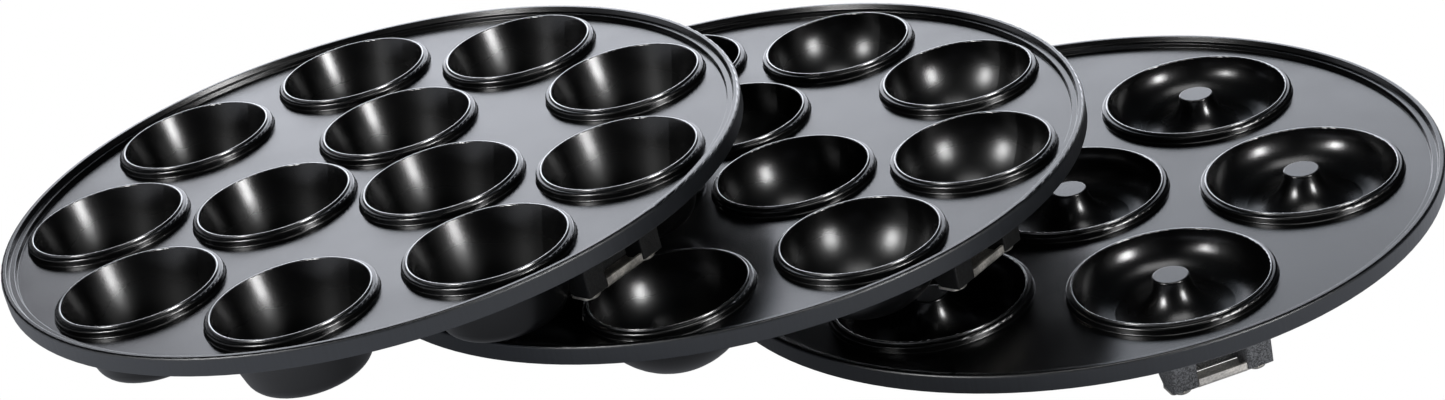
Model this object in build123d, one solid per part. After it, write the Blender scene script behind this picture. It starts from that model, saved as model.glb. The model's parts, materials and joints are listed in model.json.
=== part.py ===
from build123d import *

import math
import os

# A set of three interchangeable cast plates for a round donut, cake pop and cupcake maker, laid out
# as an overlapping fan. Millimetres throughout.
#
# Frame of one plate: the plane of its rim top is z = 0, its axis is Z, and its front is -Y.
# Frame of the set: +X to the right along the fan, +Y to the back, +Z up, origin at the bottom centre.

# ---------------------------------------------------------------- rim and face of every plate
RIM_RADIUS = 110.0
RIM_HEIGHT = 5.5
RIM_EDGE_ROUND = 0.8
RIM_SKIRT_THICKNESS = 3.0
LAND_INNER_RADIUS = 108.3
LEDGE_OUTER_RADIUS = 107.7
LEDGE_INNER_RADIUS = 106.1
LEDGE_LEVEL = -1.45
FACE_EDGE_RADIUS = 105.8
FACE_LEVEL = -2.75
FACE_THICKNESS = 2.2
UNDERSIDE_LEVEL = FACE_LEVEL - FACE_THICKNESS
SMALL_ROUND = 0.2

# ---------------------------------------------------------------- collar round every cavity
# Offsets run outwards from the lip of the cavity.
CREST_WIDTH = 0.6
CREST_ROUND = 0.25
LIP_STRAIGHT = 0.3
GROOVE_OFFSET = 0.78
GROOVE_LEVEL = -0.55
GROOVE_ROUND = 0.12
BEAD_OFFSET = 2.05
BEAD_LEVEL = -0.7
BEAD_ROUND = 0.75
FOOT_OFFSET = 2.2
FOOT_ROUND = 0.35
COLLAR_OFFSET = 2.6
CAVITY_WALL = 1.7

# ---------------------------------------------------------------- small round moulds
SMALL_LIP_RADIUS = 22.1
SMALL_RING_RADIUS = 79.8
SMALL_RING_COUNT = 9
SMALL_INNER_RING_RADIUS = 29.7
SMALL_INNER_RING_COUNT = 3
CUP_DEPTH = 21.3
CUP_FLOOR_RADIUS = 15.4
CUP_FLOOR_ROUND = 4.0
POP_DEPTH = 21.8

# ---------------------------------------------------------------- donut moulds
DONUT_LIP_RADIUS = 27.5
DONUT_RING_RADIUS = 68.6
DONUT_RING_COUNT = 6
DONUT_DEPTH = 10.4
TROUGH_RADIUS = 16.9
HUB_RADIUS = 5.3
HUB_STRAIGHT = 0.6
HUB_TOP_ROUND = 0.5

# ---------------------------------------------------------------- front latch: two lugs and a keeper
LUG_TOP_LEVEL = -4.0
LUG_BOTTOM_LEVEL = -20.7
LUG_FRONT = 96.0
LUG_REAR = 86.7
LUG_WIDTH = 7.8
LUG_GAP = 15.0
LUG_EDGE_ROUND = 0.6
LUG_REAR_CHAMFER_DEPTH = 3.2
LUG_REAR_CHAMFER_HEIGHT = 3.0
WEB_FRONT = 89.5
WEB_THICKNESS = 2.0
WEB_BOTTOM_LEVEL = -19.7
STEEL_THICKNESS = 0.8
KEEPER_FRONT = 95.7
KEEPER_STRIP_FRONT = 94.8
KEEPER_REAR = 88.2
KEEPER_LIP_TOP_LEVEL = -18.6
KEEPER_LIP_CLEARANCE = 0.2
KEEPER_BEND_ROUND = 1.1
KEEPER_CORNER_ROUND = 1.2
SCREW_X = 11.4
SCREW_Y = 92.3

# ---------------------------------------------------------------- rear tabs: two lugs with a tongue each
REAR_LUG_SPREAD = 20.0
REAR_LUG_WIDTH = 9.0
REAR_LUG_REAR = 88.0
REAR_LUG_FRONT = 96.0
REAR_LUG_BOTTOM_LEVEL = -13.5
TONGUE_WIDTH = 8.0
TONGUE_INNER = 88.4
TONGUE_OUTER = 101.0
TONGUE_ROUND = 2.0

# ---------------------------------------------------------------- pan-head screws
SHANK_RADIUS = 1.45
PILOT_RADIUS = 1.5
CLEARANCE_RADIUS = 1.7
SHANK_LENGTH = 7.0
PILOT_DEPTH = 7.5
HEAD_RADIUS = 2.7
HEAD_HEIGHT = 1.6
HEAD_SIDE = 0.5
RECESS_LENGTH = 2.8
RECESS_WIDTH = 0.7
RECESS_DEPTH = 0.9

# A cutter is this many times as tall as what it cuts through.
CUT_THROUGH = 2.0

# ---------------------------------------------------------------- the fan of three plates
# For each plate: centre of its rim plane, tilt that raises its right side, and turn about its own axis.
PLATE_CENTRE = {
    "donut": (105.7, 9.3, -14.3),
    "cake_pop": (0.0, 4.8, -2.2),
    "cupcake": (-100.2, -9.9, 2.5),
}
PLATE_TILT = {"donut": 11.0, "cake_pop": 12.25, "cupcake": 12.6}
PLATE_TURN = {"donut": 18.6, "cake_pop": 50.6, "cupcake": 50.1}
# The whole fan leans by these two angles, so that it stands on its lowest cavities.
SET_PITCH = 3.456
SET_ROLL = 0.660

KINDS = ("donut", "cake_pop", "cupcake")


def turned(*edges):
    """The solid that a closed outline in the radius and height plane makes about Z."""
    return revolve(Plane.XZ * make_face(Wire(edges)), Axis.Z)


def rounded_line(points, rounds):
    """The edges of a polyline whose inner corners have the given radii."""
    return FilletPolyline(*points, radius=rounds).edges()


def straight(start, end):
    return Line(start, end).edge()


def arc(centre, radius, start_angle, end_angle):
    """An arc in the radius and height plane, from one angle to another, in degrees."""
    return CenterArc(centre, radius, start_angle, end_angle - start_angle).edge()


def around(count, radius, first_angle):
    """Places of equally spaced cavities on a circle."""
    step = 360.0 / count
    return [
        Pos(radius * math.cos(math.radians(first_angle + step * i)),
            radius * math.sin(math.radians(first_angle + step * i)))
        for i in range(count)
    ]


def cavity_places(kind):
    """Where the cavities of a plate are. The small moulds leave a gap at the front, the donuts do not."""
    if kind == "donut":
        return [Pos(0, 0)] + around(DONUT_RING_COUNT, DONUT_RING_RADIUS, -90.0)
    outer = around(SMALL_RING_COUNT, SMALL_RING_RADIUS, -90.0 + 180.0 / SMALL_RING_COUNT)
    inner = around(SMALL_INNER_RING_COUNT, SMALL_INNER_RING_RADIUS, -90.0)
    return outer + inner


def lip_radius(kind):
    return DONUT_LIP_RADIUS if kind == "donut" else SMALL_LIP_RADIUS


def dish():
    """The recessed face, the stepped ledge and the upstanding rim, before the cavities."""
    skirt_radius = RIM_RADIUS - RIM_SKIRT_THICKNESS
    points = [
        (0, FACE_LEVEL),
        (FACE_EDGE_RADIUS, FACE_LEVEL),
        (LEDGE_INNER_RADIUS, LEDGE_LEVEL),
        (LEDGE_OUTER_RADIUS, LEDGE_LEVEL),
        (LAND_INNER_RADIUS, 0),
        (RIM_RADIUS, 0),
        (RIM_RADIUS, -RIM_HEIGHT),
        (skirt_radius, -RIM_HEIGHT),
        (skirt_radius, UNDERSIDE_LEVEL),
        (0, UNDERSIDE_LEVEL),
    ]
    rounds = [SMALL_ROUND] * 4 + [RIM_EDGE_ROUND] + [SMALL_ROUND] * 3
    return turned(*rounded_line(points, rounds), straight(points[-1], points[0]))


def collar(lip, underside_radius):
    """The outline from just under the lip of a cavity, over its collar, to the underside of the face."""
    points = [
        (lip, -LIP_STRAIGHT),
        (lip, 0),
        (lip + CREST_WIDTH, 0),
        (lip + GROOVE_OFFSET, GROOVE_LEVEL),
        (lip + BEAD_OFFSET, BEAD_LEVEL),
        (lip + FOOT_OFFSET, FACE_LEVEL),
        (lip + COLLAR_OFFSET, FACE_LEVEL),
        (lip + COLLAR_OFFSET, UNDERSIDE_LEVEL),
        (underside_radius, UNDERSIDE_LEVEL),
    ]
    rounds = [CREST_ROUND, CREST_ROUND, GROOVE_ROUND, BEAD_ROUND, FOOT_ROUND]
    line = rounded_line(points[:7], rounds)
    return [*line, straight(points[6], points[7]), straight(points[7], points[8])]


def cup_wall(lip, grow):
    """The outline of a tapered cup from its wall to its axis, moved outwards by grow."""
    slope = math.atan2(lip - CUP_FLOOR_RADIUS, CUP_DEPTH)
    sideways = grow / math.cos(slope)
    top_level = -LIP_STRAIGHT if grow == 0 else UNDERSIDE_LEVEL
    floor_level = -CUP_DEPTH - grow
    top_radius = lip + sideways + (top_level + LIP_STRAIGHT) * math.tan(slope)
    floor_radius = lip + sideways + (floor_level + LIP_STRAIGHT) * math.tan(slope)
    points = [(top_radius, top_level), (floor_radius, floor_level), (0, floor_level)]
    return points[0], points[-1], rounded_line(points, [CUP_FLOOR_ROUND + grow])


def bowl_radius(half_width, depth):
    """The radius of an arc that is level at its bottom and rises by depth over half_width."""
    return (half_width ** 2 + depth ** 2) / (2 * depth)


def pop_wall(lip, grow):
    """The outline of a cake pop hollow, an arc that ends on its axis, moved outwards by grow."""
    sphere_radius = bowl_radius(lip, POP_DEPTH - LIP_STRAIGHT)
    centre_level = sphere_radius - POP_DEPTH
    radius = sphere_radius + grow
    top_level = -LIP_STRAIGHT if grow == 0 else UNDERSIDE_LEVEL
    top_angle = math.degrees(math.asin((top_level - centre_level) / radius))
    start = (radius * math.cos(math.radians(top_angle)), top_level)
    return start, (0, centre_level - radius), [arc((0, centre_level), radius, top_angle, -90.0)]


def donut_wall(lip, grow):
    """The outline of a donut trough, from its outer wall round the bottom and up its hub to the axis."""
    outer_radius = bowl_radius(lip - TROUGH_RADIUS, DONUT_DEPTH - LIP_STRAIGHT)
    inner_radius = bowl_radius(TROUGH_RADIUS - HUB_RADIUS, DONUT_DEPTH - HUB_STRAIGHT)
    outer_centre = (TROUGH_RADIUS, outer_radius - DONUT_DEPTH)
    inner_centre = (TROUGH_RADIUS, inner_radius - DONUT_DEPTH)
    outer_radius += grow
    inner_radius += grow
    lip_level = -LIP_STRAIGHT if grow == 0 else UNDERSIDE_LEVEL
    lip_angle = math.degrees(math.asin((lip_level - outer_centre[1]) / outer_radius))
    start = (TROUGH_RADIUS + outer_radius * math.cos(math.radians(lip_angle)), lip_level)
    hub_level = -HUB_STRAIGHT - grow
    hub_angle = math.degrees(math.asin((hub_level - inner_centre[1]) / inner_radius))
    hub_edge = TROUGH_RADIUS - inner_radius * math.cos(math.radians(hub_angle))
    bottom = [
        arc(outer_centre, outer_radius, lip_angle, -90.0),
        arc(inner_centre, inner_radius, -90.0, -180.0 - hub_angle),
    ]
    hub = rounded_line([(hub_edge, hub_level), (hub_edge, -grow), (0, -grow)], [HUB_TOP_ROUND])
    return start, (0, -grow), [*bottom, *hub]


WALLS = {"donut": donut_wall, "cake_pop": pop_wall, "cupcake": cup_wall}


def cavity_shell(kind):
    """One cavity with its collar and wall, as a solid that fills a round hole in the face."""
    lip = lip_radius(kind)
    _, inner_end, inner_line = WALLS[kind](lip, 0.0)
    outer_start, outer_end, outer_line = WALLS[kind](lip, CAVITY_WALL)
    return turned(*inner_line, *collar(lip, outer_start[0]), *outer_line, straight(outer_end, inner_end))


def cavity_core(kind):
    """What fills a cavity to the middle of its wall, which trims the lugs beside it."""
    lip = lip_radius(kind)
    start, end, line = WALLS[kind](lip, CAVITY_WALL / 2)
    top_edge = (start[0], 0)
    return turned(straight(top_edge, start), *line, straight(end, (0, 0)), straight((0, 0), top_edge))


def upright_block(width, front, rear, bottom_level):
    """A cast block under the face at the front, with softened upright edges."""
    centre = Pos(0, -(front + rear) / 2, (LUG_TOP_LEVEL + bottom_level) / 2)
    block = centre * Box(width, front - rear, LUG_TOP_LEVEL - bottom_level)
    return fillet(block.edges().filter_by(Axis.Z), LUG_EDGE_ROUND)


def front_lug():
    """A front lug, centred on X, whose lower rear edge is cut away at a slant."""
    block = upright_block(LUG_WIDTH, LUG_FRONT, LUG_REAR, LUG_BOTTOM_LEVEL)
    corner = Polyline(
        (-LUG_REAR - LUG_REAR_CHAMFER_DEPTH, LUG_BOTTOM_LEVEL),
        (-LUG_REAR, LUG_BOTTOM_LEVEL),
        (-LUG_REAR, LUG_BOTTOM_LEVEL + LUG_REAR_CHAMFER_HEIGHT),
        close=True,
    )
    wedge = extrude(Plane.YZ * make_face(corner), LUG_WIDTH, both=True)
    pilot = Pos(0, -SCREW_Y, LUG_BOTTOM_LEVEL + PILOT_DEPTH / 2) * Cylinder(PILOT_RADIUS, PILOT_DEPTH)
    return block - wedge - pilot


def front_latch_casting():
    """The two front lugs and the web that joins them at the back."""
    lug = front_lug()
    offset = (LUG_GAP + LUG_WIDTH) / 2
    web_height = LUG_TOP_LEVEL - WEB_BOTTOM_LEVEL
    web_centre = Pos(0, -WEB_FRONT + WEB_THICKNESS / 2, LUG_TOP_LEVEL - web_height / 2)
    web = web_centre * Box(LUG_GAP + LUG_WIDTH, WEB_THICKNESS, web_height)
    return [Pos(-offset) * lug, Pos(offset) * lug, web]


def rear_lug():
    """A rear lug, built at the front and turned to the back by the caller."""
    block = upright_block(REAR_LUG_WIDTH, REAR_LUG_FRONT, REAR_LUG_REAR, REAR_LUG_BOTTOM_LEVEL)
    pilot = Pos(0, -SCREW_Y, REAR_LUG_BOTTOM_LEVEL + PILOT_DEPTH / 2) * Cylinder(PILOT_RADIUS, PILOT_DEPTH)
    return block - pilot


def rear_turns():
    return {"left": Rot(Z=180 + REAR_LUG_SPREAD), "right": Rot(Z=180 - REAR_LUG_SPREAD)}


def plate(kind):
    """One casting: dish, cavities with their collars, front lugs with web, and rear lugs."""
    places = cavity_places(kind)
    hole = Pos(0, 0, (FACE_LEVEL + UNDERSIDE_LEVEL) / 2) * Cylinder(
        lip_radius(kind) + COLLAR_OFFSET, CUT_THROUGH * FACE_THICKNESS
    )
    pierced = dish() - [place * hole for place in places]
    shell = cavity_shell(kind)
    core = cavity_core(kind)
    cores = [place * core for place in places]
    lugs = front_latch_casting() + [turn * rear_lug() for turn in rear_turns().values()]
    trimmed = [lug - cores for lug in lugs]
    return pierced + [place * shell for place in places] + trimmed


def front_keeper():
    """The pressed steel keeper: a flat strip under both lugs with an upturned lip between them."""
    top = LUG_BOTTOM_LEVEL
    bottom = top - STEEL_THICKNESS
    middle = (top + bottom) / 2
    width = LUG_GAP + 2 * LUG_WIDTH
    depth = KEEPER_STRIP_FRONT - KEEPER_REAR
    strip = Pos(0, -(KEEPER_STRIP_FRONT + KEEPER_REAR) / 2, middle) * Box(width, depth, STEEL_THICKNESS)
    strip = fillet(strip.edges().filter_by(Axis.Z), KEEPER_CORNER_ROUND)
    lip_back = -KEEPER_FRONT + STEEL_THICKNESS
    bend_end = lip_back + KEEPER_BEND_ROUND
    lip_points = [
        (-KEEPER_FRONT, KEEPER_LIP_TOP_LEVEL),
        (-KEEPER_FRONT, bottom),
        (bend_end, bottom),
        (bend_end, top),
        (lip_back, top),
        (lip_back, KEEPER_LIP_TOP_LEVEL),
    ]
    lip_face = make_face(Polyline(*lip_points, close=True))
    outer_corner = lip_face.vertices().sort_by(Axis.X)[:2].sort_by(Axis.Y)[0]
    lip_face = fillet(outer_corner, KEEPER_BEND_ROUND)
    inner_corner = lip_face.vertices().sort_by_distance((lip_back, top))[0]
    lip_face = fillet(inner_corner, KEEPER_BEND_ROUND - STEEL_THICKNESS)
    lip_length = LUG_GAP - 2 * KEEPER_LIP_CLEARANCE
    lip = extrude(Plane.YZ * lip_face, lip_length / 2, both=True)
    clearance = Pos(0, -SCREW_Y, middle) * Cylinder(CLEARANCE_RADIUS, CUT_THROUGH * STEEL_THICKNESS)
    notch = Pos(0, -KEEPER_FRONT + KEEPER_BEND_ROUND / 2, middle) * Box(
        lip_length, KEEPER_BEND_ROUND, STEEL_THICKNESS
    )
    return strip - notch + lip - [Pos(-SCREW_X) * clearance, Pos(SCREW_X) * clearance]


def rear_tab():
    """A flat steel tongue under a rear lug, built at the front and turned to the back by the caller."""
    top = REAR_LUG_BOTTOM_LEVEL
    bottom = top - STEEL_THICKNESS
    middle = (top + bottom) / 2
    tongue = Pos(0, -(TONGUE_INNER + TONGUE_OUTER) / 2, middle) * Box(
        TONGUE_WIDTH, TONGUE_OUTER - TONGUE_INNER, STEEL_THICKNESS
    )
    outer_edges = tongue.edges().filter_by(Axis.Z).sort_by(Axis.Y)[:2]
    tongue = fillet(outer_edges, TONGUE_ROUND)
    return tongue - Pos(0, -SCREW_Y, middle) * Cylinder(CLEARANCE_RADIUS, CUT_THROUGH * STEEL_THICKNESS)


def screw(seat_level):
    """A pan-head screw with a cross recess, pointing up, whose head bears on seat_level from below."""
    dome_radius = (HEAD_RADIUS ** 2 + (HEAD_HEIGHT - HEAD_SIDE) ** 2) / (2 * (HEAD_HEIGHT - HEAD_SIDE))
    dome_angle = math.degrees(math.asin(HEAD_RADIUS / dome_radius))
    outline = [
        straight((0, SHANK_LENGTH + STEEL_THICKNESS), (SHANK_RADIUS, SHANK_LENGTH + STEEL_THICKNESS)),
        straight((SHANK_RADIUS, SHANK_LENGTH + STEEL_THICKNESS), (SHANK_RADIUS, 0)),
        straight((SHANK_RADIUS, 0), (HEAD_RADIUS, 0)),
        straight((HEAD_RADIUS, 0), (HEAD_RADIUS, -HEAD_SIDE)),
        arc((0, dome_radius - HEAD_HEIGHT), dome_radius, -90.0 + dome_angle, -90.0),
        straight((0, -HEAD_HEIGHT), (0, SHANK_LENGTH + STEEL_THICKNESS)),
    ]
    bar = Pos(0, 0, -HEAD_HEIGHT + RECESS_DEPTH / 2) * Box(RECESS_LENGTH, RECESS_WIDTH, RECESS_DEPTH)
    recess = bar + Rot(Z=90) * bar
    return Pos(0, 0, seat_level) * (turned(*outline) - recess)


def plate_pieces(kind):
    """Every piece of one plate assembly, by node name, in the plate's own frame."""
    pieces = {f"{kind}_plate": plate(kind), f"{kind}_front_keeper": front_keeper()}
    front_screw = screw(LUG_BOTTOM_LEVEL - STEEL_THICKNESS)
    for side, x in (("left", -SCREW_X), ("right", SCREW_X)):
        pieces[f"{kind}_front_keeper_screw_{side}"] = Pos(x, -SCREW_Y) * front_screw
    rear_screw = Pos(0, -SCREW_Y) * screw(REAR_LUG_BOTTOM_LEVEL - STEEL_THICKNESS)
    for side, turn in rear_turns().items():
        pieces[f"{kind}_rear_tab_{side}"] = turn * rear_tab()
        pieces[f"{kind}_rear_tab_screw_{side}"] = turn * rear_screw
    return pieces


def plate_location(kind):
    """Where a plate is in the fan, before the fan is moved to its origin."""
    lean = Rot(X=SET_PITCH) * Rot(Y=SET_ROLL)
    return lean * Pos(*PLATE_CENTRE[kind]) * Rot(Y=-PLATE_TILT[kind]) * Rot(Z=PLATE_TURN[kind])


def fan():
    """Every piece of the set, by node name, with the origin at the bottom centre of the set."""
    placed = {}
    for kind in KINDS:
        location = plate_location(kind)
        for name, piece in plate_pieces(kind).items():
            placed[name] = location * piece
    box = Compound(list(placed.values())).bounding_box()
    to_origin = Pos(-box.center().X, -box.center().Y, -box.min.Z)
    return {name: to_origin * piece for name, piece in placed.items()}, to_origin


os.makedirs("parts", exist_ok=True)
SET_PIECES, TO_ORIGIN = fan()
for node, shape in SET_PIECES.items():
    export_step(shape, f"parts/{node}.step")
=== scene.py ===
import json
import math

import bpy
from mathutils import Matrix, Vector

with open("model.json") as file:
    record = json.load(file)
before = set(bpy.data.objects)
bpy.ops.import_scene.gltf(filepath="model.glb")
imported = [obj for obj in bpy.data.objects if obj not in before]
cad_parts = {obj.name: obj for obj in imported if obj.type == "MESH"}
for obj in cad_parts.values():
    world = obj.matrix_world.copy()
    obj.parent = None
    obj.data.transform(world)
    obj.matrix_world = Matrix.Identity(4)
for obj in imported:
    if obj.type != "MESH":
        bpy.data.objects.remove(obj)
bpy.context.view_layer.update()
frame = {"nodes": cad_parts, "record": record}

# Looks of a set of three cast baking plates that lie in an overlapping fan. Metres, in the frame of
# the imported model. The shapes are the CAD nodes. This script gives them their coating, cast grain and
# nickel plating, and sets up the floor, the studio light and the camera.

KINDS = ("donut", "cake_pop", "cupcake")
MILLIMETRE = 0.001

# ---------------------------------------------------------------- sizes of a plate, in its own frame
RIM_RADIUS = 110.0
RIM_HEIGHT = 5.5
SEAT_RADIUS = 108.5
CREST_LEVEL = -0.30
CREST_OUTER_RADIUS = 104.0
FACE_LEVEL = -2.75
DEEP_LEVEL = -14.0
DONUT_RING_RADIUS = 68.6
DONUT_CENTRES = [(0.0, 0.0, 0.0)] + [
    (DONUT_RING_RADIUS * math.cos(math.radians(turn)),
     DONUT_RING_RADIUS * math.sin(math.radians(turn)), 0.0)
    for turn in range(-90, 270, 60)
]
HUB_CLEARANCE = 7.0
LUG_HALF_SPAN = 16.5
LUG_REAR = 86.2
LUG_TOP_LEVEL = -5.2
# The outer face of the rim begins between these radii.
RIM_EDGE = (RIM_RADIUS - 0.5, RIM_RADIUS - 0.2)
# How far the edges of the other surfaces blend into their neighbours, in millimetres.
LUG_SIDE_BLEND = 1.0
LUG_REAR_BLEND = 0.5
LUG_TOP_BLEND = 0.4
HUB_BLEND = 0.5
CREST_BLEND = 0.05
CREST_OUTER_BLEND = 1.0

# ---------------------------------------------------------------- camera
CAMERA_AIM = (-0.00140, 0.00016, 0.02805)
CAMERA_DISTANCE = 0.90186
CAMERA_AZIMUTH = 0.305
CAMERA_ELEVATION = 21.942
CAMERA_ROLL = -0.710
CAMERA_LENS = 75.99
SENSOR_WIDTH = 36.0

# ---------------------------------------------------------------- floor and light
FLOOR_SIZE = 8.0
SHADE_HALF_LENGTH = 0.22
SHADE_HALF_WIDTH = 0.13
SHADE_LEVEL = 0.22
# The shade below the plates fades out between these shares of its half sizes.
SHADE_FADE = (0.8, 1.35)
SOFTBOX_DISTANCE = 1.6
# For each softbox: azimuth from the camera's side, positive to the right, elevation, width, height
# and watts.
SOFTBOXES = {
    "softbox_right": (44.0, 24.0, 0.38, 0.52, 22.0),
    "softbox_left": (-54.0, 22.0, 0.38, 0.52, 26.0),
    "softbox_overhead": (0.0, 80.0, 0.80, 0.60, 7.0),
}
AMBIENT = 0.03
# The bright backdrop behind the object, in degrees to the right and above the horizon. It is evenly
# bright between its sides, brightest near the horizon, and fades out towards its top.
BACKDROP = 3.6
BACKDROP_TINT = (0.89, 0.92, 1.0)
BACKDROP_TOP_TINT = (0.76, 0.87, 1.0)
BACKDROP_LEFT = (-26.0, -20.5)
BACKDROP_RIGHT = (8.0, 30.0)
BACKDROP_TOP = (26.0, 40.0)
HORIZON_GLOW = 0.4
HORIZON_TOP = (9.0, 19.0)

# ---------------------------------------------------------------- coating
BLUISH = (0.93, 0.97, 1.06)
RIM_TINT = (0.80, 0.98, 1.24)
# The darkest and the brightest grey of each surface. The rough front lugs are palest on the donut plate,
# where painted light raises their grey, and near black on the other two, where painted shade darkens them.
SMOOTH_GREYS = (0.0032, 0.0055)
RIM_GREYS = (0.010, 0.034)
CAST_GREYS_WITH_PAINTED_LIGHT = {"donut": (0.09, 0.50), "cake_pop": (0.004, 0.02), "cupcake": (0.004, 0.02)}
# Textures. Scales are in cells per radian for the turning marks, and per millimetre for the others.
TURNING_MARKS = {"scale": 110.0, "detail": 4.0, "roughness": 0.75}
CLOUDS = {"scale": 0.045, "detail": 4.0}
GRAIN = {"scale": 2.6, "detail": 3.0, "roughness": 0.6}
PITS = {"scale": 2.4, "detail": 4.0, "roughness": 0.7}
# How high the textures stand out, in metres.
MARK_HEIGHT = 0.000005
GRAIN_HEIGHT = 0.000012
PIT_HEIGHT = 0.00022
# The values of a texture between which its effect grows from nothing to full.
TEXTURE_RANGE = (0.3, 0.7)
PIT_RANGE = (0.35, 0.68)
SMOOTH_ROUGHNESS = (0.20, 0.25)
RIM_ROUGHNESS = (0.32, 0.46)
# The roughness that is added down in the cavities and on the rough lugs.
DEEP_ROUGHNESS = 0.08
CAST_ROUGHNESS = 0.25
COATING_IOR = 1.5
SMOOTH_SPECULAR = 0.5
CAST_SPECULAR = 0.25
CREST_SHEEN = 1.0
CREST_ROUGHNESS = 0.18
CREST_IOR = 1.9

# ---------------------------------------------------------------- nickel plating
# Tint, darkest and brightest grey, and how high the speckle stands out, in metres.
KEEPER_PLATING = ((1.0, 0.955, 0.875), (0.62, 0.95), 0.000020)
SCREW_PLATING = ((1.0, 0.965, 0.90), (0.26, 0.46), 0.000006)
# Textures, with scales in cells per metre.
SPECKLE = {"scale": 1500.0, "detail": 4.0, "roughness": 0.65}
STREAKS = {"scale": 260.0, "detail": 3.0}
PLATING_METALLIC = 0.75
PLATING_ROUGHNESS = (0.38, 0.55)


def new_material(name):
    """An empty node material, its node tree and its Principled shader."""
    material = bpy.data.materials.new(name)
    material.use_nodes = True
    tree = material.node_tree
    return material, tree, tree.nodes["Principled BSDF"]


def add(tree, kind, **settings):
    """A new node of a type, with its properties set."""
    node = tree.nodes.new(kind)
    for name, value in settings.items():
        setattr(node, name, value)
    return node


def supply(tree, socket, value):
    """Links an input to an output of another node, or sets it to a plain value."""
    if isinstance(value, bpy.types.NodeSocket):
        tree.links.new(value, socket)
    else:
        socket.default_value = value


def feed(tree, node, **inputs):
    """Supplies inputs of a node by socket name, with _ for a space."""
    for name, value in inputs.items():
        supply(tree, node.inputs[name.replace("_", " ")], value)


def math_node(tree, operation, *values, clamp=False):
    """The output of a Math node fed with sockets or numbers."""
    node = add(tree, "ShaderNodeMath", operation=operation, use_clamp=clamp)
    for socket, value in zip(node.inputs, values):
        supply(tree, socket, value)
    return node.outputs[0]


def ramp(tree, value, low, high, to_low=0.0, to_high=1.0):
    """A smooth step of value from to_low at low to to_high at high."""
    node = add(tree, "ShaderNodeMapRange", interpolation_type="SMOOTHSTEP")
    feed(tree, node, Value=value, From_Min=low, From_Max=high, To_Min=to_low, To_Max=to_high)
    return node.outputs["Result"]


def degrees_ramp(tree, angle, limits, to_low, to_high):
    """A smooth step of an angle in radians between two limits in degrees."""
    low, high = limits
    return ramp(tree, angle, math.radians(low), math.radians(high), to_low, to_high)


def mixed_colour(tree, factor, first, second):
    """A colour between two, by factor."""
    node = add(tree, "ShaderNodeMix", data_type="RGBA")
    supply(tree, node.inputs[0], factor)
    supply(tree, node.inputs[6], first)
    supply(tree, node.inputs[7], second)
    return node.outputs[2]


def noise(tree, coordinates, scale, detail=2.0, roughness=0.5):
    """The value of a noise texture whose scale is in cells per unit of its coordinates."""
    node = add(tree, "ShaderNodeTexNoise")
    feed(tree, node, Vector=coordinates, Scale=scale, Detail=detail, Roughness=roughness)
    return node.outputs["Fac"]


def relief(tree, height):
    """The normal of a surface that stands out by a height in metres."""
    bump = add(tree, "ShaderNodeBump")
    feed(tree, bump, Strength=1.0, Distance=1.0, Height=height)
    return bump.outputs["Normal"]


def grey(level, tint=(1.0, 1.0, 1.0)):
    """An opaque grey of a brightness, with a tint."""
    return (level * tint[0], level * tint[1], level * tint[2], 1.0)


def shades(tree, factor, greys, tint=(1.0, 1.0, 1.0)):
    """A colour between a dark and a bright grey, by factor."""
    dark, bright = greys
    return mixed_colour(tree, factor, grey(dark, tint), grey(bright, tint))


def mount(kind, name):
    """The place and axis of a mount of a plate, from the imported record."""
    for entry in frame["record"]["mounts"]:
        if entry["name"] == f"{kind}_{name}":
            return Vector(entry["pos_m"]), Vector(entry["axis"]).normalized()
    raise KeyError(f"{kind}_{name}")


def plate_matrix(kind):
    """The frame of a plate: the plane of its rim top is z = 0, its axis is Z, and its front is -Y."""
    seat, down = mount(kind, "seat")
    _, front = mount(kind, "front_latch")
    up = -down
    right = front.cross(down).normalized()
    origin = seat - front * SEAT_RADIUS * MILLIMETRE + up * RIM_HEIGHT * MILLIMETRE
    turn = Matrix((right, -front, up)).transposed()
    return Matrix.Translation(origin) @ turn.to_4x4()


def plate_coordinates(tree, kind):
    """Millimetres in the plate's own frame, for every point of a node that rides on that plate."""
    matrix = plate_matrix(kind)
    place = add(tree, "ShaderNodeTexCoord")
    mapping = add(tree, "ShaderNodeMapping", vector_type="TEXTURE")
    feed(tree, mapping, Vector=place.outputs["Object"], Location=matrix.to_translation(),
         Rotation=matrix.to_euler("XYZ"), Scale=(MILLIMETRE,) * 3)
    parts = add(tree, "ShaderNodeSeparateXYZ")
    feed(tree, parts, Vector=mapping.outputs["Vector"])
    return mapping.outputs["Vector"], parts.outputs


def cast_mask(tree, x, y, z):
    """1 on the rough front lugs and web, 0 elsewhere."""
    aside = math_node(tree, "ABSOLUTE", x)
    beside = ramp(tree, aside, LUG_HALF_SPAN, LUG_HALF_SPAN + LUG_SIDE_BLEND, 1.0, 0.0)
    in_front = ramp(tree, y, -LUG_REAR - LUG_REAR_BLEND, -LUG_REAR, 1.0, 0.0)
    below = ramp(tree, z, LUG_TOP_LEVEL - LUG_TOP_BLEND, LUG_TOP_LEVEL, 1.0, 0.0)
    return math_node(tree, "MULTIPLY", math_node(tree, "MULTIPLY", beside, in_front), below)


def off_the_hubs(tree, place):
    """0 on the hubs in the middle of the donut troughs, 1 elsewhere."""
    clear = 1.0
    for centre in DONUT_CENTRES:
        gap = add(tree, "ShaderNodeVectorMath", operation="DISTANCE")
        feed(tree, gap, Vector=place)
        gap.inputs[1].default_value = centre
        beyond = ramp(tree, gap.outputs["Value"], HUB_CLEARANCE, HUB_CLEARANCE + HUB_BLEND)
        clear = math_node(tree, "MULTIPLY", clear, beyond)
    return clear


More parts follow.
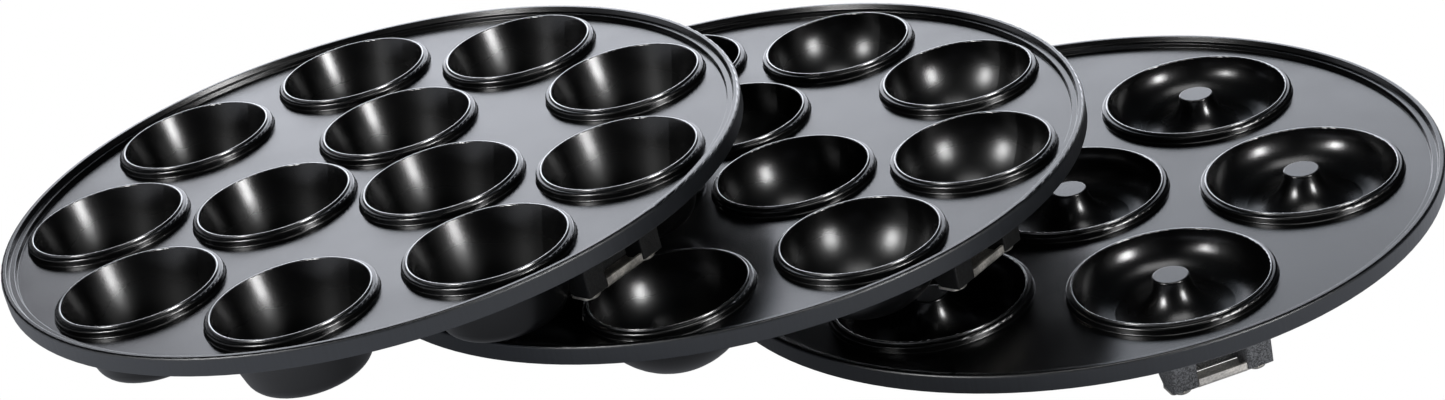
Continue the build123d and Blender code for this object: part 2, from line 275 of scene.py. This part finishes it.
def crest_mask(tree, kind, place, radius, z):
    """1 on the glossy crests of the lips round the cavities, 0 elsewhere."""
    high = ramp(tree, z, CREST_LEVEL - CREST_BLEND, CREST_LEVEL + CREST_BLEND)
    inside = ramp(tree, radius, CREST_OUTER_RADIUS, CREST_OUTER_RADIUS + CREST_OUTER_BLEND, 1.0, 0.0)
    crest = math_node(tree, "MULTIPLY", high, inside)
    if kind == "donut":
        crest = math_node(tree, "MULTIPLY", crest, off_the_hubs(tree, place))
    return crest


def coating_colour(tree, kind, rim, cast, marks, clouds, pits):
    """Near black, clouded on the faces, streaked on the rim and speckled on the rough lugs; the lugs' greys
    hold painted light on the donut plate and painted shade on the others.
    """
    smooth_colour = shades(tree, clouds, SMOOTH_GREYS, BLUISH)
    rim_colour = shades(tree, marks, RIM_GREYS, RIM_TINT)
    # Painted light raises the lugs' grey on the donut plate; painted shade darkens it on the other two
    # plates.
    cast_colour_with_painted_light = shades(tree, ramp(tree, pits, *PIT_RANGE), CAST_GREYS_WITH_PAINTED_LIGHT[kind])
    return mixed_colour(tree, cast, mixed_colour(tree, rim, smooth_colour, rim_colour), cast_colour_with_painted_light)


def coating_roughness(tree, rim, cast, deep, marks, clouds):
    """Glossy on the faces, and rougher down in the cavities, on the rim and on the rough lugs."""
    faces = math_node(tree, "ADD", ramp(tree, clouds, *TEXTURE_RANGE, *SMOOTH_ROUGHNESS),
                      math_node(tree, "MULTIPLY", deep, DEEP_ROUGHNESS))
    outside = ramp(tree, marks, *TEXTURE_RANGE, *RIM_ROUGHNESS)
    off_the_rim = math_node(tree, "SUBTRACT", 1.0, rim)
    smooth = math_node(tree, "ADD", math_node(tree, "MULTIPLY", rim, outside),
                       math_node(tree, "MULTIPLY", off_the_rim, faces))
    lugs = math_node(tree, "MULTIPLY", cast, CAST_ROUGHNESS)
    return math_node(tree, "ADD", smooth, lugs, clamp=True)


def coating_relief(tree, rim, cast, marks, grain, pits):
    """Grain everywhere, turning marks on the rim and pits on the rough lugs."""
    grain_height = math_node(tree, "MULTIPLY", grain, GRAIN_HEIGHT)
    mark_height = math_node(tree, "MULTIPLY", math_node(tree, "MULTIPLY", marks, rim), MARK_HEIGHT)
    pit_height = math_node(tree, "MULTIPLY", math_node(tree, "MULTIPLY", pits, cast), PIT_HEIGHT)
    height = math_node(tree, "ADD", math_node(tree, "ADD", grain_height, mark_height), pit_height)
    return relief(tree, height)


def coating(kind):
    """Satin black non-stick coating of a plate, with its rough cast lugs."""
    material, tree, shader = new_material(f"{kind}_nonstick_coating")
    place, (x, y, z) = plate_coordinates(tree, kind)
    radius = math_node(tree, "SQRT", math_node(tree, "ADD", math_node(tree, "MULTIPLY", x, x),
                                               math_node(tree, "MULTIPLY", y, y)))
    rim = ramp(tree, radius, *RIM_EDGE)
    cast = cast_mask(tree, x, y, z)
    crest = crest_mask(tree, kind, place, radius, z)
    deep = ramp(tree, z, DEEP_LEVEL, FACE_LEVEL, 1.0, 0.0)

    around = add(tree, "ShaderNodeCombineXYZ")
    feed(tree, around, X=math_node(tree, "ARCTAN2", y, x))
    marks = noise(tree, around.outputs["Vector"], **TURNING_MARKS)
    clouds = noise(tree, place, **CLOUDS)
    grain = noise(tree, place, **GRAIN)
    pits = noise(tree, place, **PITS)

    feed(tree, shader,
         Base_Color=coating_colour(tree, kind, rim, cast, marks, clouds, pits),
         Roughness=coating_roughness(tree, rim, cast, deep, marks, clouds),
         Normal=coating_relief(tree, rim, cast, marks, grain, pits),
         IOR=COATING_IOR,
         Specular_IOR_Level=ramp(tree, cast, 0.0, 1.0, SMOOTH_SPECULAR, CAST_SPECULAR),
         Coat_Weight=ramp(tree, crest, 0.0, 1.0, 0.0, CREST_SHEEN),
         Coat_Roughness=CREST_ROUGHNESS,
         Coat_IOR=CREST_IOR)
    return material


def plated_steel(name, tint, greys, speckle_height):
    """Nickel plated steel with fine speckle between a dark and a bright grey."""
    material, tree, shader = new_material(name)
    place = add(tree, "ShaderNodeTexCoord").outputs["Object"]
    speckle = noise(tree, place, **SPECKLE)
    streaks = noise(tree, place, **STREAKS)
    feed(tree, shader,
         Base_Color=shades(tree, ramp(tree, speckle, *TEXTURE_RANGE), greys, tint),
         Roughness=ramp(tree, streaks, *TEXTURE_RANGE, *PLATING_ROUGHNESS),
         Normal=relief(tree, math_node(tree, "MULTIPLY", speckle, speckle_height)),
         Metallic=PLATING_METALLIC)
    return material


def dress_nodes():
    """Gives every CAD node its material."""
    keeper = plated_steel("nickel_plated_keeper", *KEEPER_PLATING)
    screw = plated_steel("nickel_plated_screw", *SCREW_PLATING)
    coatings = {kind: coating(kind) for kind in KINDS}
    for name, node in frame["nodes"].items():
        kind = next(k for k in KINDS if name.startswith(k))
        if name.endswith("_plate"):
            material = coatings[kind]
        elif "screw" in name:
            material = screw
        else:
            material = keeper
        node.data.materials.clear()
        node.data.materials.append(material)


def floor_strength(tree, seen):
    """Full white where the camera sees the table, but shaded below the plates for their reflections."""
    place = add(tree, "ShaderNodeTexCoord").outputs["Object"]
    scaled = add(tree, "ShaderNodeVectorMath", operation="DIVIDE")
    feed(tree, scaled, Vector=place)
    scaled.inputs[1].default_value = (SHADE_HALF_LENGTH, SHADE_HALF_WIDTH, 1.0)
    reach = add(tree, "ShaderNodeVectorMath", operation="LENGTH")
    feed(tree, reach, Vector=scaled.outputs["Vector"])
    shade = ramp(tree, reach.outputs["Value"], *SHADE_FADE, SHADE_LEVEL, 1.0)
    return math_node(tree, "MAXIMUM", shade, seen)


def floor():
    """An evenly glowing white table, clear from below so that the undersides can be looked at."""
    bpy.ops.mesh.primitive_plane_add(size=FLOOR_SIZE)
    table = bpy.context.object
    table.name = "floor"
    material, tree, _ = new_material("white_floor")
    glow = add(tree, "ShaderNodeEmission")
    seen = add(tree, "ShaderNodeLightPath").outputs["Is Camera Ray"]
    colour = mixed_colour(tree, seen, grey(1.0, BACKDROP_TINT), grey(1.0))
    feed(tree, glow, Color=colour, Strength=floor_strength(tree, seen))
    clear = add(tree, "ShaderNodeBsdfTransparent")
    side = add(tree, "ShaderNodeNewGeometry")
    choice = add(tree, "ShaderNodeMixShader")
    output = tree.nodes["Material Output"]
    tree.links.new(side.outputs["Backfacing"], choice.inputs[0])
    tree.links.new(glow.outputs["Emission"], choice.inputs[1])
    tree.links.new(clear.outputs["BSDF"], choice.inputs[2])
    tree.links.new(choice.outputs["Shader"], output.inputs["Surface"])
    table.data.materials.append(material)


def studio_world():
    """A very bright backdrop behind the object, dim elsewhere, and plain white where the camera sees it."""
    world = bpy.data.worlds.new("studio")
    bpy.context.scene.world = world
    world.use_nodes = True
    tree = world.node_tree
    background = tree.nodes["Background"]
    direction = add(tree, "ShaderNodeTexCoord").outputs["Generated"]
    parts = add(tree, "ShaderNodeSeparateXYZ")
    feed(tree, parts, Vector=direction)
    x, y, z = parts.outputs
    azimuth = math_node(tree, "ARCTAN2", x, y)
    elevation = math_node(tree, "ARCSINE", z)
    left = degrees_ramp(tree, azimuth, BACKDROP_LEFT, 0.0, 1.0)
    right = degrees_ramp(tree, azimuth, BACKDROP_RIGHT, 1.0, 0.0)
    top = degrees_ramp(tree, elevation, BACKDROP_TOP, 1.0, 0.0)
    horizon = degrees_ramp(tree, elevation, HORIZON_TOP, 1.0 + HORIZON_GLOW, 1.0)
    glow = math_node(tree, "MULTIPLY", math_node(tree, "MULTIPLY", left, right),
                     math_node(tree, "MULTIPLY", top, horizon))
    studio = math_node(tree, "ADD", math_node(tree, "MULTIPLY", glow, BACKDROP), AMBIENT)
    seen = add(tree, "ShaderNodeLightPath").outputs["Is Camera Ray"]
    tint = mixed_colour(tree, top, grey(1.0, BACKDROP_TOP_TINT), grey(1.0, BACKDROP_TINT))
    colour = mixed_colour(tree, seen, tint, grey(1.0))
    feed(tree, background, Color=colour, Strength=math_node(tree, "MAXIMUM", studio, seen))


def from_camera_side(azimuth, elevation, distance):
    """A point around the aim of the camera, at an azimuth to the right of the camera's side."""
    across = math.radians(azimuth)
    rise = math.radians(elevation)
    flat = distance * math.cos(rise)
    offset = Vector((flat * math.sin(across), -flat * math.cos(across), distance * math.sin(rise)))
    return Vector(CAMERA_AIM) + offset


def softboxes():
    """Area lights that stand around the aim of the camera and face it."""
    for name, (azimuth, elevation, width, height, watts) in SOFTBOXES.items():
        data = bpy.data.lights.new(name, "AREA")
        data.shape = "RECTANGLE"
        data.size = width
        data.size_y = height
        data.energy = watts
        lamp = bpy.data.objects.new(name, data)
        lamp.visible_diffuse = False
        bpy.context.scene.collection.objects.link(lamp)
        lamp.location = from_camera_side(azimuth, elevation, SOFTBOX_DISTANCE)
        towards = Vector(CAMERA_AIM) - lamp.location
        lamp.rotation_euler = towards.to_track_quat("-Z", "Y").to_euler()


def camera():
    """A long lens from the front, a little above the plates."""
    data = bpy.data.cameras.new("camera")
    data.lens = CAMERA_LENS
    data.sensor_width = SENSOR_WIDTH
    data.sensor_fit = "HORIZONTAL"
    body = bpy.data.objects.new("camera", data)
    bpy.context.scene.collection.objects.link(body)
    turn = Matrix.Rotation(math.radians(CAMERA_AZIMUTH), 4, "Z")
    tip = Matrix.Rotation(math.radians(90.0 - CAMERA_ELEVATION), 4, "X")
    roll = Matrix.Rotation(math.radians(CAMERA_ROLL), 4, "Z")
    back = Matrix.Translation((0.0, 0.0, CAMERA_DISTANCE))
    body.matrix_world = Matrix.Translation(CAMERA_AIM) @ turn @ tip @ roll @ back
    bpy.context.scene.camera = body


bpy.context.scene.view_settings.view_transform = "Standard"
camera()
dress_nodes()
floor()
studio_world()
softboxes()
